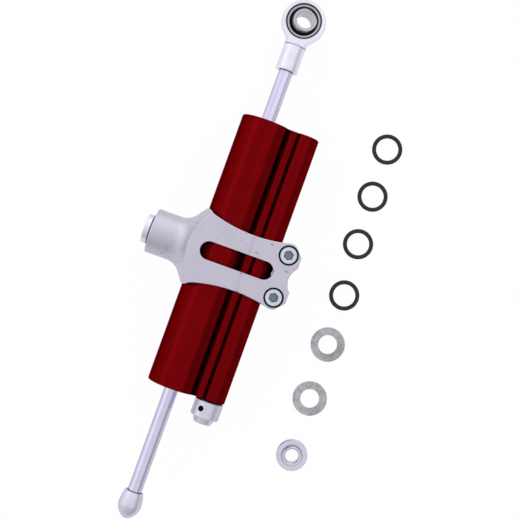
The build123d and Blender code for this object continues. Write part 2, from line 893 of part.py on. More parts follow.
# Clamp: a flared blank cut to its side and plan outlines, then bored for the barrel and slit
def clamp_plan():
    """Outline of the clamp seen from above, with y counted from the rod axis."""
    with BuildSketch() as outline:
        with BuildLine():
            ThreePointArc(
                (0, -notch_distance),
                (notch_half_width / 2, -notch_distance - notch_mid_drop),
                (notch_half_width, -lobe_end_distance),
            )
            Polyline(
                (notch_half_width, -lobe_end_distance),
                (lobe_corner_half_width, -lobe_end_distance),
                (lobe_half_width, -lobe_corner_distance),
                (lobe_half_width, -lobe_start_distance),
            )
            ThreePointArc(
                (lobe_half_width, -lobe_start_distance),
                (waist_half_width, -waist_distance),
                (flank_half_width, flank_distance),
            )
            Polyline(
                (flank_half_width, flank_distance),
                (shoulder_half_width, shoulder_distance),
                (shoulder_half_width, boss_face_distance),
                (0, boss_face_distance),
            )
            mirror(about=Plane.YZ)
        make_face()
        lobe_corners = [
            (side * x, -y)
            for side in (1, -1)
            for x, y in (
                (lobe_corner_half_width, lobe_end_distance),
                (lobe_half_width, lobe_corner_distance),
            )
        ]
        fillet([vertices().sort_by_distance(corner)[0] for corner in lobe_corners], lobe_round)
        shoulder_corners = [
            (side * x, y)
            for side in (1, -1)
            for x, y in ((shoulder_half_width, shoulder_distance), (flank_half_width, flank_distance))
        ]
        fillet([vertices().sort_by_distance(corner)[0] for corner in shoulder_corners], shoulder_round)
    return outline.sketch


with BuildPart() as clamp_bracket:
    with BuildSketch(lengthwise(rod_y)):
        add(clamp_plan())
    extrude(amount=clamp_half_height, both=True)
    with BuildSketch(across(-shoulder_half_width - overrun)):
        with BuildLine():
            Polyline(
                (boss_face_distance + overrun, 0),
                (boss_face_distance + overrun, clamp_half_height),
                (-step_start_distance, clamp_half_height),
            )
            TangentArc(
                (-step_start_distance, clamp_half_height),
                (-step_end_distance, screw_face_z),
                tangent=(-1, 0),
            )
            Polyline(
                (-step_end_distance, screw_face_z),
                (-lobe_end_distance - overrun, screw_face_z),
                (-lobe_end_distance - overrun, 0),
            )
            mirror(about=Plane.XZ)
        make_face()
    extrude(amount=2 * (shoulder_half_width + overrun), mode=Mode.INTERSECT)
    boss_axis = Axis((0, 0, 0), (0, 1, 0))
    with BuildSketch(lengthwise(rod_y)):
        with BuildLine():
            Polyline(
                (0, boss_face_distance),
                (boss_radius, boss_face_distance),
                (boss_radius, flare_top_distance),
                (flare_end_radius, flare_end_distance),
                (flare_end_radius, -lobe_end_distance - overrun),
                (0, -lobe_end_distance - overrun),
                close=True,
            )
        make_face()
        fillet(vertices().sort_by_distance((boss_radius, flare_top_distance))[0], flare_round)
    revolve(axis=boss_axis, mode=Mode.INTERSECT)

    # Soft edges round both faces and the boss; the two creases across each face stay crisp
    for side in (1, -1):
        levels = sorted((side * (screw_face_z - edge_break), side * (clamp_half_height + edge_break)))
        rim = edges().filter_by_position(Axis.Z, *levels)
        creases = rim.filter_by(Axis.X).filter_by_position(Axis.X, -edge_break, edge_break)
        fillet(rim - creases, clamp_edge_round)
    fillet(edges().group_by(Axis.Y)[-1], clamp_edge_round)

    # Opening for the barrel, slit between the lobes, and the long window in both faces
    with BuildSketch(across(-shoulder_half_width - overrun)):
        Circle(main_radius + clamp_gap)
        with Locations((-tube_spacing, 0)):
            Circle(reservoir_radius + clamp_gap)
        with Locations((-tube_spacing / 2, 0)):
            Rectangle(tube_spacing, 2 * (reservoir_radius + clamp_gap))
        with Locations((-tube_spacing, 0)):
            Rectangle(2 * tube_spacing, slit_width, align=(Align.MAX, Align.CENTER))
    extrude(amount=2 * (shoulder_half_width + overrun), mode=Mode.SUBTRACT)
    slot_middle = (slot_near_distance - slot_far_distance) / 2
    with BuildSketch(lengthwise(rod_y)):
        with Locations((0, slot_middle)):
            SlotCenterToCenter(slot_near_distance + slot_far_distance, slot_width, rotation=90)
    extrude(amount=clamp_half_height + overrun, both=True, mode=Mode.SUBTRACT)

    # Seat of the spherical bearing, its circlip groove and the bolt's way in from behind
    race_seat = clamp_reach - clamp_race_width / 2
    race_top = clamp_reach + clamp_race_width / 2 + seat_gap
    groove_top = race_top + circlip_thickness + end_gap
    bearing_bore = race_radius + seat_gap
    groove_radius = bearing_bore + circlip_groove_depth
    mouth_radius = bearing_bore + boss_mouth_clearance
    with BuildSketch(lengthwise(rod_y)):
        with BuildLine():
            Polyline(
                (0, main_radius - overrun),
                (bolt_passage_radius, main_radius - overrun),
                (bolt_passage_radius, race_seat),
                (bearing_bore, race_seat),
                (bearing_bore, race_top),
                (groove_radius, race_top),
                (groove_radius, groove_top),
                (mouth_radius, groove_top),
                (mouth_radius, boss_face_distance + overrun),
                (0, boss_face_distance + overrun),
                close=True,
            )
        make_face()
    revolve(axis=boss_axis, mode=Mode.SUBTRACT)

    # Screw holes: a well for each head, clearance above the slit and thread below it
    well_floor = screw_face_z - screw_sink - screw_head_height
    screw_places = [(side * screw_spacing / 2, -screw_distance) for side in (1, -1)]
    for start, depth, radius in (
        (well_floor, screw_sink + screw_head_height + overrun, screw_well_radius),
        (0, well_floor, screw_radius + screw_clearance),
        (-clamp_half_height, clamp_half_height, screw_radius + seat_gap),
    ):
        with BuildSketch(lengthwise(rod_y).offset(start)):
            with Locations(*screw_places):
                Circle(radius)
        extrude(amount=depth, mode=Mode.SUBTRACT)
save(clamp_bracket, "clamp_bracket")

with BuildPart() as clamp_screws:
    screw_plane = lengthwise(rod_y)
    head_top = well_floor + screw_head_height
    with BuildSketch(screw_plane.offset(well_floor)):
        with Locations(*screw_places):
            Circle(screw_head_radius)
    extrude(amount=screw_head_height)
    chamfer(edges().group_by(Axis.Z)[-1], edge_break)
    with BuildSketch(screw_plane.offset(well_floor - screw_length)):
        with Locations(*screw_places):
            Circle(screw_radius)
    extrude(amount=screw_length)
    with BuildSketch(screw_plane.offset(head_top)):
        with Locations(*screw_places):
            RegularPolygon(screw_socket_width / 2, 6, major_radius=False)
    extrude(amount=-screw_socket_depth, mode=Mode.SUBTRACT)
save(clamp_screws, "clamp_screws")

# The clamp's bearing stands on the origin, with its bore along Y
level_plane = Plane(origin=(0, 0, 0), x_dir=(1, 0, 0), z_dir=(0, 0, 1))
clamp_race = bearing_race(clamp_race_width, level_plane, boss_axis)
save(clamp_race, "clamp_bearing_race")
clamp_ball = bearing_ball(level_plane, boss_axis)
save(clamp_ball, "clamp_ball")

circlip_plane = Plane(origin=(0, clamp_race_width / 2 + 2 * seat_gap, 0), x_dir=(1, 0, 0), z_dir=(0, 1, 0))
with BuildPart() as clamp_circlip:
    with BuildSketch(circlip_plane):
        Circle(groove_radius - seat_gap)
        Circle(circlip_inner_radius, mode=Mode.SUBTRACT)
        with Locations((0, groove_radius)):
            Rectangle(retainer_gap, groove_radius, mode=Mode.SUBTRACT)
    extrude(amount=circlip_thickness)
save(clamp_circlip, "clamp_circlip")

# Flanged sleeve through the ball, reducing its bore to the frame bolt
sleeve_shank_radius = ball_bore_radius - running_gap
half_ball = ball_width / 2
neck_top = half_ball + sleeve_neck_length
flange_top = neck_top + sleeve_flange_length
flange_edge = edge_break / 2
with BuildPart() as clamp_sleeve:
    with BuildSketch(level_plane):
        with BuildLine():
            Polyline(
                (bolt_radius, -half_ball),
                (sleeve_shank_radius, -half_ball),
                (sleeve_shank_radius, half_ball + running_gap),
                (sleeve_neck_radius, half_ball + running_gap),
                (sleeve_neck_radius, neck_top),
                (sleeve_flange_radius, neck_top),
                (sleeve_flange_radius, flange_top - flange_edge),
                (sleeve_flange_radius - flange_edge, flange_top),
                (bolt_radius, flange_top),
                close=True,
            )
        make_face()
    revolve(axis=boss_axis)
save(clamp_sleeve, "clamp_sleeve")


# Fitting kit, lying on the same surface as the clamp
def kit_places(shares):
    """Places on the surface, from shares of the barrel's length."""
    return [(along * barrel_length, rod_y - out * barrel_length) for along, out in shares]


with BuildPart() as kit_o_rings:
    for x, y in kit_places(kit_ring_place_shares):
        with BuildSketch(upright(x, y)):
            with Locations((kit_ring_radius, floor_z + kit_ring_section)):
                Circle(kit_ring_section)
        revolve(axis=Axis((x, y, 0), (0, 0, 1)))
save(kit_o_rings, "kit_o_rings")

with BuildPart() as kit_washers:
    with BuildSketch(Plane.XY.offset(floor_z)):
        with Locations(*kit_places(kit_washer_place_shares)):
            Circle(kit_washer_radius)
            Circle(kit_washer_bore_radius, mode=Mode.SUBTRACT)
    extrude(amount=kit_washer_thickness)
save(kit_washers, "kit_washers")

spacer_x, spacer_y = kit_places([kit_spacer_place_share])[0]
collar_top = floor_z + kit_spacer_flange + kit_collar_height
with BuildPart() as kit_spacer:
    with BuildSketch(upright(spacer_x, spacer_y)):
        with BuildLine():
            Polyline(
                (bolt_radius, floor_z),
                (kit_spacer_radius, floor_z),
                (kit_spacer_radius, floor_z + kit_spacer_flange - edge_break),
                (kit_spacer_radius - edge_break, floor_z + kit_spacer_flange),
                (kit_collar_radius, floor_z + kit_spacer_flange),
                (kit_collar_radius, collar_top - edge_break),
                (kit_collar_radius - edge_break, collar_top),
                (bolt_radius + edge_break, collar_top),
                (bolt_radius, collar_top - edge_break),
                close=True,
            )
        make_face()
    revolve(axis=Axis((spacer_x, spacer_y, 0), (0, 0, 1)))
save(kit_spacer, "kit_spacer")
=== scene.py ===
"""Looks of a motorcycle steering damper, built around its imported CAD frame."""
import json
import math

import bmesh
import bpy
from bpy.props import FloatProperty, FloatVectorProperty, PointerProperty
from mathutils import Matrix, Vector


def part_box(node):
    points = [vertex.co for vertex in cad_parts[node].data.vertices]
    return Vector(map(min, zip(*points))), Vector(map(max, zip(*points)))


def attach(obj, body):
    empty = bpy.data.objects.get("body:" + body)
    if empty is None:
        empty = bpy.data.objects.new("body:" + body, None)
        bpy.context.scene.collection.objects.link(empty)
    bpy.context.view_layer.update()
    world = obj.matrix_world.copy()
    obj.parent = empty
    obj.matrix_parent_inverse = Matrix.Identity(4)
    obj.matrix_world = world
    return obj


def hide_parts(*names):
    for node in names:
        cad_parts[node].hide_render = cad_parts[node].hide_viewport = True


bl_info = {
    "name": "Steering Damper",
    "version": (1, 0, 0),
    "blender": (4, 5, 0),
    "location": "View3D > Sidebar > Damper",
    "description": "Finishes and fine pieces of a twin tube steering damper",
    "category": "Object",
}

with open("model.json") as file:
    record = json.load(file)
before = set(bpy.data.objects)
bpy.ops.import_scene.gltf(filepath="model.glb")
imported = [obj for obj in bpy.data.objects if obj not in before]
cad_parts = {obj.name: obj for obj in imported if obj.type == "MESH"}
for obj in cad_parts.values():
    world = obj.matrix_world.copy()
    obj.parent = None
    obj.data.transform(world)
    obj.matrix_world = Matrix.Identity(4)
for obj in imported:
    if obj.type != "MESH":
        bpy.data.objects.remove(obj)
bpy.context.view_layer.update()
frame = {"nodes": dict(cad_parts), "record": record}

# Landmarks of the CAD frame, in metres
BARREL_LOW, BARREL_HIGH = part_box("barrel_body")
ROD_LOW, ROD_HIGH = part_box("rod_shaft")
ROD_Y = (ROD_LOW.y + ROD_HIGH.y) / 2
CLAMP_LOW, CLAMP_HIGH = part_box("clamp_bracket")
FLOOR_Z = CLAMP_LOW.z
BARREL_MIDDLE = (BARREL_LOW.x + BARREL_HIGH.x) / 2
BARREL_HALF = (BARREL_HIGH.x - BARREL_LOW.x) / 2
BOSS_Y = CLAMP_HIGH.y
MOUNTS = {mount["name"]: mount for mount in frame["record"]["mounts"]}
EYE_CENTRE = MOUNTS["rod_end_bore"]["pos_m"]
EYE_BORE = MOUNTS["rod_end_bore"]["axis"]
RING_PLACES = [
    [(low + high) / 2 for low, high in zip(*opening["box_m"])][:2]
    for opening in frame["record"]["physics"]["openings"] if opening["name"].startswith("kit_o_ring")
]

# Frequencies of noise along X, Y and Z, per metre: the metals' grains and clouds, then single finishes
LENGTHWISE = (6, 1800, 1800)
RINGED = (3000, 40, 40)
EVEN = (2500, 2500, 2500)
CLOUDS = (90, 90, 90)
BARREL_STREAKS = (2, 240, 240)
ROD_STREAKS = (3, 620, 620)
CLAMP_SCUFFS = (420, 180, 420)
WASHER_BLOTCHES = (520, 520, 520)
RUBBER_GRAIN = (1500, 1500, 1500)

# Colours that no setting changes
SCREW_STEEL = (0.6, 0.66, 0.78)
SPRING_STEEL = (0.05, 0.05, 0.055)
BRASS = (0.6, 0.42, 0.16)

# Painted shade lines along the barrel, in the valley between the tubes and in the crease beside it:
# distance from the rod and half width, and the blur of their edges, in metres
VALLEY_SHADE = (0.01305, 0.00138)
CREASE_SHADE = (0.0193, 0.0009)
LINE_BLUR = 0.0004
# Depth of the barrel's end faces, which the painted shade lines leave out, in metres
END_SKIN = 2e-4

# Painted shade line across the eye's neck, at the step where the milled flats end: distance from the eye's
# centre, and where the line fades, in metres
FLATS_LENGTH = 0.0146
FLATS_STEP_SHADE = (0.00018, 0.00042)
# Radii from the bore's axis over which the painted shade on the eye, its race and its ball fades to or from
# dark, in metres
STAKED_GROOVE_SHADE = (0.0100, 0.0105)
RACE_MOUTH_SHADE = (0.0080, 0.0086)
BALL_RIM_SHADE = (0.0066, 0.0081)
# Openness, from 0 to 1, over which the painted shade in a hollow fades from dark to light, and the rays
# that measure it
HOLLOW_SHADE_FADE, HOLLOW_RAYS = (0.35, 0.85), 8

# Sides of the O-rings' section, steps round an O-ring and sides of the boss seal
SECTION_SIDES, RING_STEPS, SEAL_SIDES = 28, 96, 72
# Angle from which an edge of the boss seal is rounded, in radians
SEAL_RIM_ANGLE = 1
# Gaps that keep the seal off the boss and the floor off the clamp, in metres
SEAL_GAP, FLOOR_GAP = 1e-5, 1e-4

# Colour of the floor's paper, and how white the floor looks, from 0 for its paper to 1 for plain light
FLOOR_PAPER = (0.95, 0.95, 0.95, 1)
FLOOR_WHITENESS = 0.97
# Sky round the rod's axis: degrees from straight up towards the boss's side, and brightness there
SKY_RING = (
    (-180, 0.8), (-100, 0.60), (-56, 0.60), (-48, 1.0), (36, 1.0), (44, 1.30), (60, 1.25),
    (110, 0.85), (180, 0.8),
)
# Its factor towards the end cap's end and towards the rod end's
SKY_ENDS = (0.62, 1.38)


def math_node(nodes, links, operation, first, second=0.0):
    """The result of one Math node on sockets or numbers."""
    step = nodes.new("ShaderNodeMath")
    step.operation = operation
    for socket, value in zip(step.inputs, (first, second)):
        if isinstance(value, float):
            socket.default_value = value
        else:
            links.new(value, socket)
    return step.outputs["Value"]


def map_range(nodes, links, value, first, last, low, high):
    """The value, mapped from first and last onto low and high and kept between them."""
    mapped = nodes.new("ShaderNodeMapRange")
    for socket, number in zip(("From Min", "From Max", "To Min", "To Max"), (first, last, low, high)):
        mapped.inputs[socket].default_value = number
    links.new(value, mapped.inputs["Value"])
    return mapped.outputs["Result"]


def place_mesh(name, shape, material):
    """Makes an object of the shape, with the material."""
    mesh = bpy.data.meshes.new(name)
    shape.to_mesh(mesh)
    shape.free()
    mesh.materials.append(material)
    placed = bpy.data.objects.new(name, mesh)
    bpy.context.scene.collection.objects.link(placed)
    return placed


# Finishes


class Finish:
    """A material on a Principled shader, patterned from the piece's own place in metres."""

    def __init__(self, name, colour, metallic, roughness, **settings):
        self.material = bpy.data.materials.new(name)
        self.material.use_nodes = True
        self.nodes = self.material.node_tree.nodes
        self.links = self.material.node_tree.links
        self.shader = self.nodes["Principled BSDF"]
        self.place = self.nodes.new("ShaderNodeTexCoord").outputs["Object"]
        self.shader.inputs["Base Color"].default_value = (*colour, 1)
        self.shader.inputs["Metallic"].default_value = metallic
        self.shader.inputs["Roughness"].default_value = roughness
        for socket, value in settings.items():
            self.shader.inputs[socket.replace("_", " ")].default_value = value
        self.normal = None

    def noise(self, per_metre, detail):
        """Noise with its own frequency along each axis, where a low one draws it out into streaks."""
        stretch = self.nodes.new("ShaderNodeMapping")
        stretch.inputs["Scale"].default_value = per_metre
        texture = self.nodes.new("ShaderNodeTexNoise")
        texture.inputs["Scale"].default_value = 1.0
        texture.inputs["Detail"].default_value = detail
        self.links.new(self.place, stretch.inputs["Vector"])
        self.links.new(stretch.outputs["Vector"], texture.inputs["Vector"])
        return texture.outputs["Fac"]

    def spread(self, value, low, high, start=0.35, end=0.65):
        """The value, mapped from start and end onto low and high and kept between them."""
        return map_range(self.nodes, self.links, value, start, end, low, high)

    def tint(self, value, first, second):
        """Blends the base colour from first to second."""
        blend = self.nodes.new("ShaderNodeMix")
        blend.data_type = "RGBA"
        blend.inputs["A"].default_value = (*first, 1)
        blend.inputs["B"].default_value = (*second, 1)
        self.links.new(value, blend.inputs["Factor"])
        self.links.new(blend.outputs["Result"], self.shader.inputs["Base Color"])

    def calculate(self, operation, first, second=0.0):
        """The result of one Math node on sockets or numbers."""
        return math_node(self.nodes, self.links, operation, first, second)

    def distance_along(self, axis, centre):
        """Distance from a place on one of the axes X, Y and Z."""
        split = self.nodes.new("ShaderNodeSeparateXYZ")
        self.links.new(self.place, split.inputs["Vector"])
        return self.calculate("ABSOLUTE", self.calculate("SUBTRACT", split.outputs[axis], centre))

    def distance_from_line(self, centre, direction):
        """Distance from a line through centre."""
        offset = self.nodes.new("ShaderNodeVectorMath")
        offset.operation = "SUBTRACT"
        offset.inputs[1].default_value = centre
        self.links.new(self.place, offset.inputs[0])
        across = self.nodes.new("ShaderNodeVectorMath")
        across.operation = "CROSS_PRODUCT"
        across.inputs[1].default_value = direction
        self.links.new(offset.outputs["Vector"], across.inputs[0])
        length = self.nodes.new("ShaderNodeVectorMath")
        length.operation = "LENGTH"
        self.links.new(across.outputs["Vector"], length.inputs[0])
        return length.outputs["Value"]

    def paint_hollow_shade(self, reach, depth):
        """Paints shade into the colour of grooves, gaps and sockets as wide as the reach, down to depth, a
        share of the colour.
        """
        hollow = self.nodes.new("ShaderNodeAmbientOcclusion")
        hollow.samples = HOLLOW_RAYS
        hollow.inputs["Distance"].default_value = reach
        self.darken(self.spread(hollow.outputs["AO"], depth, 1.0, *HOLLOW_SHADE_FADE))

    def darken(self, value):
        """Multiplies the base colour by the value."""
        blend = self.nodes.new("ShaderNodeMix")
        blend.data_type = "RGBA"
        blend.blend_type = "MULTIPLY"
        blend.inputs["Factor"].default_value = 1.0
        base = self.shader.inputs["Base Color"]
        if base.is_linked:
            self.links.new(base.links[0].from_socket, blend.inputs["A"])
        else:
            blend.inputs["A"].default_value = base.default_value
        self.links.new(value, blend.inputs["B"])
        self.links.new(blend.outputs["Result"], base)

    def rough(self, value):
        """Feeds the roughness."""
        self.links.new(value, self.shader.inputs["Roughness"])

    def bump(self, value, height):
        """Relief of the given height in metres, on top of any relief before it."""
        relief = self.nodes.new("ShaderNodeBump")
        relief.inputs["Strength"].default_value = 1.0
        relief.inputs["Distance"].default_value = height
        self.links.new(value, relief.inputs["Height"])
        if self.normal is not None:
            self.links.new(self.normal, relief.inputs["Normal"])
        self.normal = relief.outputs["Normal"]
        self.links.new(self.normal, self.shader.inputs["Normal"])


def shade(colour, factor):
    """The colour, lighter or darker."""
    return tuple(channel * factor for channel in colour)


def metal(name, colour, roughness, grain, grain_height, mottle=0.06, scatter=0.06, edge=(1, 1, 1),
          reach=0.0016, depth=0.05):
    """A metal with a fine grain, a faint mottle and painted shade in its crevices, its rims tinted by edge.
    """
    finish = Finish(name, colour, 1.0, roughness, Specular_Tint=(*edge, 1))
    marks = finish.noise(grain, detail=3.0)
    clouds = finish.noise(CLOUDS, detail=4.0)
    finish.tint(finish.spread(clouds, 0, 1), shade(colour, 1 - mottle), colour)
    finish.rough(finish.spread(marks, roughness - scatter, roughness + scatter))
    finish.bump(marks, grain_height)
    # Painted shade: ambient occlusion darkens the base colour in hollows
    finish.paint_hollow_shade(reach, depth)
    return finish


def dress(node, material):
    """Gives a CAD node its finish."""
    slots = frame["nodes"][node].data.materials
    slots.clear()
    slots.append(material)


def barrel_finish(colour):
    """Glossy anodising, with near black painted shade in the valley between the tubes and in the crease
    beside it.
    """
    finish = metal("red_anodised", colour, 0.22, LENGTHWISE, 2e-6, edge=(0.42, 0.2, 0.32))
    streaks = finish.noise(BARREL_STREAKS, detail=2.0)
    finish.darken(finish.spread(streaks, 0.82, 1.08, 0.36, 0.64))
    on_end_face = finish.calculate(
        "GREATER_THAN", finish.distance_along("X", BARREL_MIDDLE), BARREL_HALF - END_SKIN
    )
    # Painted shade: dark bands along the valley and the crease, left off the end faces
    for place, half in (VALLEY_SHADE, CREASE_SHADE):
        distance = finish.distance_along("Y", ROD_Y - place)
        band = finish.spread(distance, 0.10, 1.0, half - LINE_BLUR, half + LINE_BLUR)
        finish.darken(finish.calculate("MAXIMUM", band, on_end_face))
    return finish.material


def rod_finish(colour):
    """Hard chrome with faint darker streaks along the rod."""
    finish = metal("rod_chrome", colour, 0.16, LENGTHWISE, 1e-6, edge=(0.4, 0.36, 0.52))
    streaks = finish.noise(ROD_STREAKS, detail=1.0)
    finish.darken(finish.spread(streaks, 0.80, 1.0, 0.38, 0.56))
    return finish.material


def clamp_finish(colour):
    """Satin anodising with a few small scuffs."""
    finish = metal("clamp_silver", colour, 0.42, EVEN, 4e-6)
    scuffs = finish.noise(CLAMP_SCUFFS, detail=1.0)
    finish.darken(finish.spread(scuffs, 1.0, 0.55, 0.70, 0.74))
    return finish.material


def washer_finish(colour):
    """Tumbled steel with fine blotches."""
    finish = metal("washer_steel", colour, 0.36, EVEN, 6e-6, mottle=0.3, scatter=0.12)
    blotches = finish.noise(WASHER_BLOTCHES, detail=4.0)
    finish.darken(finish.spread(blotches, 0.78, 1.06, 0.36, 0.6))
    return finish.material


def eye_finish(colour):
    """Bright satin with painted shade lines in the groove where the bearing is staked in and at the step
    where the milled flats end.
    """
    finish = metal("eye_silver", colour, 0.34, RINGED, 2e-6)
    distance = finish.distance_from_line(EYE_CENTRE, (0, 0, 1))
    # Painted shade: a dark ring in the staking groove round the bearing
    finish.darken(finish.spread(distance, 0.12, 1.0, *STAKED_GROOVE_SHADE))
    # Painted shade: a dark line at the step where the milled flats end
    step = finish.distance_along("X", EYE_CENTRE[0] - FLATS_LENGTH)
    finish.darken(finish.spread(step, 0.3, 1.0, *FLATS_STEP_SHADE))
    return finish.material


def race_finish(colour):
    """Ground steel, with painted shade where it curves in under the ball."""
    finish = metal("eye_race_steel", colour, 0.28, EVEN, 1e-6)
    distance = finish.distance_from_line(EYE_CENTRE, (0, 0, 1))
    # Painted shade: the race goes dark at its mouth, beside the ball
    finish.darken(finish.spread(distance, 0.05, 1.0, *RACE_MOUTH_SHADE))
    return finish.material


def ball_finish(colour):
    """Ground steel with painted shade that deepens towards the race."""
    finish = metal("eye_ball_steel", colour, 0.26, EVEN, 1e-6)
    distance = finish.distance_from_line(EYE_CENTRE, EYE_BORE)
    # Painted shade: the ball goes nearly black towards its rim under the race
    finish.darken(finish.spread(distance, 1.0, 0.06, *BALL_RIM_SHADE))
    return finish.material


def rubber_finish(colour):
    """Matt rubber with a fine grain."""
    finish = Finish("black_rubber", colour, 0.0, 0.6, Specular_IOR_Level=0.22)
    grain = finish.noise(RUBBER_GRAIN, detail=3.0)
    finish.tint(finish.spread(grain, 0, 1), shade(colour, 0.7), colour)
    finish.rough(finish.spread(grain, 0.5, 0.7))
    finish.bump(grain, 3e-6)
    return finish.material


# Sizes and colours that a user may change


class DamperColours(bpy.types.PropertyGroup):
    """Colours of the finishes."""

    red: FloatVectorProperty(
        name="Barrel", description="Anodised barrel", subtype="COLOR", size=3, min=0, max=1,
        default=(0.162, 0.0017, 0.0032),
    )
    clamp: FloatVectorProperty(
        name="Clamp", description="Satin anodised clamp", subtype="COLOR", size=3, min=0, max=1,
        default=(0.56, 0.53, 0.63),
    )
    bright: FloatVectorProperty(
        name="Rod end", description="Bright rod end", subtype="COLOR", size=3, min=0, max=1,
        default=(0.80, 0.76, 0.90),
    )
    rod: FloatVectorProperty(
        name="Rod", description="Hard chrome of the rod", subtype="COLOR", size=3, min=0, max=1,
        default=(0.71, 0.68, 0.88),
    )
    turned: FloatVectorProperty(
        name="Turned parts", description="Knob, cap and spacer", subtype="COLOR", size=3, min=0, max=1,
        default=(0.66, 0.64, 0.76),
    )
    steel: FloatVectorProperty(
        name="Bearing steel", description="Balls, races and washers", subtype="COLOR", size=3, min=0, max=1,
        default=(0.45, 0.43, 0.47),
    )
    rubber: FloatVectorProperty(
        name="Rubber", description="O-rings and seals", subtype="COLOR", size=3, min=0, max=1,
        default=(0.012, 0.012, 0.015),
    )


class DamperStage(bpy.types.PropertyGroup):
    """Camera, floor and light."""

    lens: FloatProperty(
        name="Lens", description="Focal length on a 36 mm sensor, in millimetres", default=73.07, min=10,
    )
    camera_place: FloatVectorProperty(
        name="Camera place", description="Where the camera stands", size=3, subtype="TRANSLATION",
        default=(-0.00086, -0.05639, 0.59649),
    )
    camera_turn: FloatVectorProperty(
        name="Camera turn", description="Tilt and turn of the camera", size=3, subtype="EULER",
        default=(0.00795, -0.00593, -1.224505),
    )
    floor_width: FloatProperty(
        name="Floor width", description="Side of the square floor", default=6.0, unit="LENGTH",
    )
    light: FloatProperty(
        name="Light", description="Level of the soft light from all round", default=1.0, min=0,
    )


class DamperLook(bpy.types.PropertyGroup):
    """Everything that a user may change."""

    seal_inner: FloatProperty(
        name="Seal bore", description="Inner radius of the boss's dust seal", default=0.0095, unit="LENGTH",
    )
    seal_outer: FloatProperty(
        name="Seal rim", description="Outer radius of the boss's dust seal", default=0.0102, unit="LENGTH",
    )
    seal_thickness: FloatProperty(
        name="Seal thickness", description="Thickness of the boss's dust seal", default=0.0004,
        unit="LENGTH",
    )
    ring_radius: FloatProperty(
        name="Ring radius", description="Radius of the O-rings to the middle of their section",
        default=0.00765, unit="LENGTH",
    )
    ring_section: FloatProperty(
        name="Ring section", description="Radius of the O-rings' section", default=0.0012, unit="LENGTH",
    )
    colours: PointerProperty(type=DamperColours)
    stage: PointerProperty(type=DamperStage)


# Stage


def seen_directly(nodes, links, share):
    """The share for camera, glossy and transmitted rays, and 0 for the rest."""
    path = nodes.new("ShaderNodeLightPath")
    value = path.outputs["Is Camera Ray"]
    for name in ("Is Glossy Ray", "Is Transmission Ray"):
        value = math_node(nodes, links, "MAXIMUM", value, path.outputs[name])
    return math_node(nodes, links, "MULTIPLY", value, share)


def pale_floor(width):
    """Pale square floor that looks white and keeps a trace of the object's shadow."""
    material = bpy.data.materials.new("studio_floor")
    material.use_nodes = True
    nodes, links = material.node_tree.nodes, material.node_tree.links
    nodes.remove(nodes["Principled BSDF"])
    paper = nodes.new("ShaderNodeBsdfDiffuse")
    paper.inputs["Color"].default_value = FLOOR_PAPER
    white = nodes.new("ShaderNodeEmission")
    blend = nodes.new("ShaderNodeMixShader")
    links.new(seen_directly(nodes, links, FLOOR_WHITENESS), blend.inputs["Fac"])
    links.new(paper.outputs["BSDF"], blend.inputs[1])
    links.new(white.outputs["Emission"], blend.inputs[2])
    links.new(blend.outputs["Shader"], nodes["Material Output"].inputs["Surface"])
    shape = bmesh.new()
    bmesh.ops.create_grid(shape, x_segments=1, y_segments=1, size=width / 2)
    bmesh.ops.translate(shape, verts=shape.verts, vec=(0, 0, FLOOR_Z - FLOOR_GAP))
    place_mesh("studio_floor", shape, material)


def studio_sky(level):
    """Soft light from all round, strongest from the boss's side, and a plain white backdrop."""
    world = bpy.data.worlds.new("studio")
    bpy.context.scene.world = world
    world.use_nodes = True
    nodes, links = world.node_tree.nodes, world.node_tree.links
    direction = nodes.new("ShaderNodeTexCoord").outputs["Generated"]
    split = nodes.new("ShaderNodeSeparateXYZ")
    links.new(direction, split.inputs["Vector"])
    angle = math_node(nodes, links, "ARCTAN2", split.outputs["Y"], split.outputs["Z"])
    ramp = nodes.new("ShaderNodeValToRGB")
    ramp.color_ramp.interpolation = "LINEAR"
    stops = ramp.color_ramp.elements
    stops.remove(stops[0])
    for index, (degrees, brightness) in enumerate(SKY_RING):
        position = (degrees + 180) / 360
        stop = stops[0] if index == 0 else stops.new(position)
        stop.position = position
        stop.color = (brightness, brightness, brightness, 1)
    links.new(map_range(nodes, links, angle, -math.pi, math.pi, 0, 1), ramp.inputs["Fac"])
    along = map_range(nodes, links, split.outputs["X"], -1, 1, *SKY_ENDS)
    total = math_node(nodes, links, "MULTIPLY", ramp.outputs["Color"], along)
    light = nodes["Background"]
    light.inputs["Color"].default_value = (1, 1, 1, 1)
    links.new(math_node(nodes, links, "MULTIPLY", total, level), light.inputs["Strength"])
    backdrop = nodes.new("ShaderNodeBackground")
    backdrop.inputs["Color"].default_value = (1, 1, 1, 1)
    blend = nodes.new("ShaderNodeMixShader")
    path = nodes.new("ShaderNodeLightPath")
    links.new(path.outputs["Is Camera Ray"], blend.inputs["Fac"])
    links.new(light.outputs["Background"], blend.inputs[1])
    links.new(backdrop.outputs["Background"], blend.inputs[2])
    links.new(blend.outputs["Shader"], nodes["World Output"].inputs["Surface"])


def photo_camera(stage):
    """Camera above the rod, where the photograph was taken from."""
    data = bpy.data.cameras.new("photo_camera")
    data.lens = stage.lens
    data.sensor_width = 36
    data.clip_start = 0.01
    camera = bpy.data.objects.new("photo_camera", data)
    camera.location = stage.camera_place
    camera.rotation_euler = stage.camera_turn
    bpy.context.scene.collection.objects.link(camera)
    bpy.context.scene.camera = camera


# Operators


class DAMPER_OT_stage(bpy.types.Operator):
    """Sets up the floor, the soft light and the camera"""

    bl_idname = "damper.stage"
    bl_label = "Stage"

    def execute(self, context):
        stage = context.scene.damper_look.stage
        pale_floor(stage.floor_width)
        studio_sky(stage.light)
        photo_camera(stage)
        context.scene.view_settings.view_transform = "Standard"
        return {"FINISHED"}


